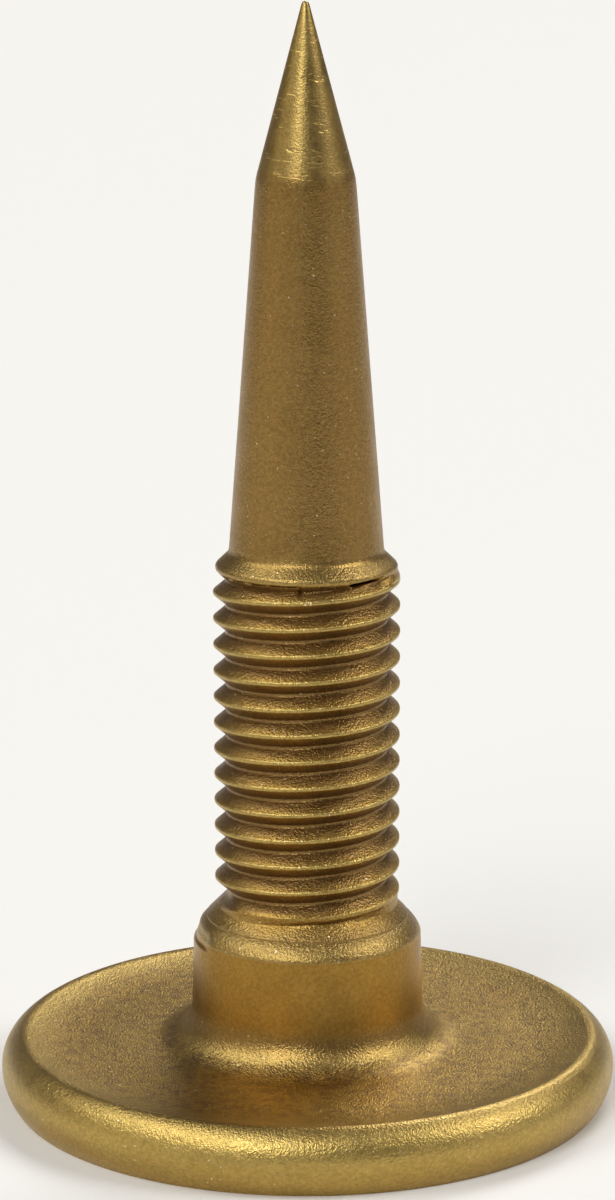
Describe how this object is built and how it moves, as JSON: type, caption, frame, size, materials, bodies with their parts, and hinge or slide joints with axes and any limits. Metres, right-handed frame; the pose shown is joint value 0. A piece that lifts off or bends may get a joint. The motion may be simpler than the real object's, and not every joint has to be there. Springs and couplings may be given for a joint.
{
  "type": "flanged push-through stud",
  "caption": "One-piece steel stud with a dished round flange, a plain boss, a rolled fine thread, a long taper and a sharp cone point.",
  "frame": {"origin": "centre of the flange's flat face, which the stud stands on", "axes": "+Z along the stud from the flange to the point; the thread's crest crosses +X at whole turns of its pitch"},
  "size_m": [0.0234, 0.0234, 0.0412],
  "materials": {
    "plated_steel": "yellow-gold zinc plating over a bead-blasted surface, satin with a coarse sparkle on the edges"
  },
  "bodies": {
    "root": {"flanged_stud": "plated_steel"}
  },
  "joints": []
}
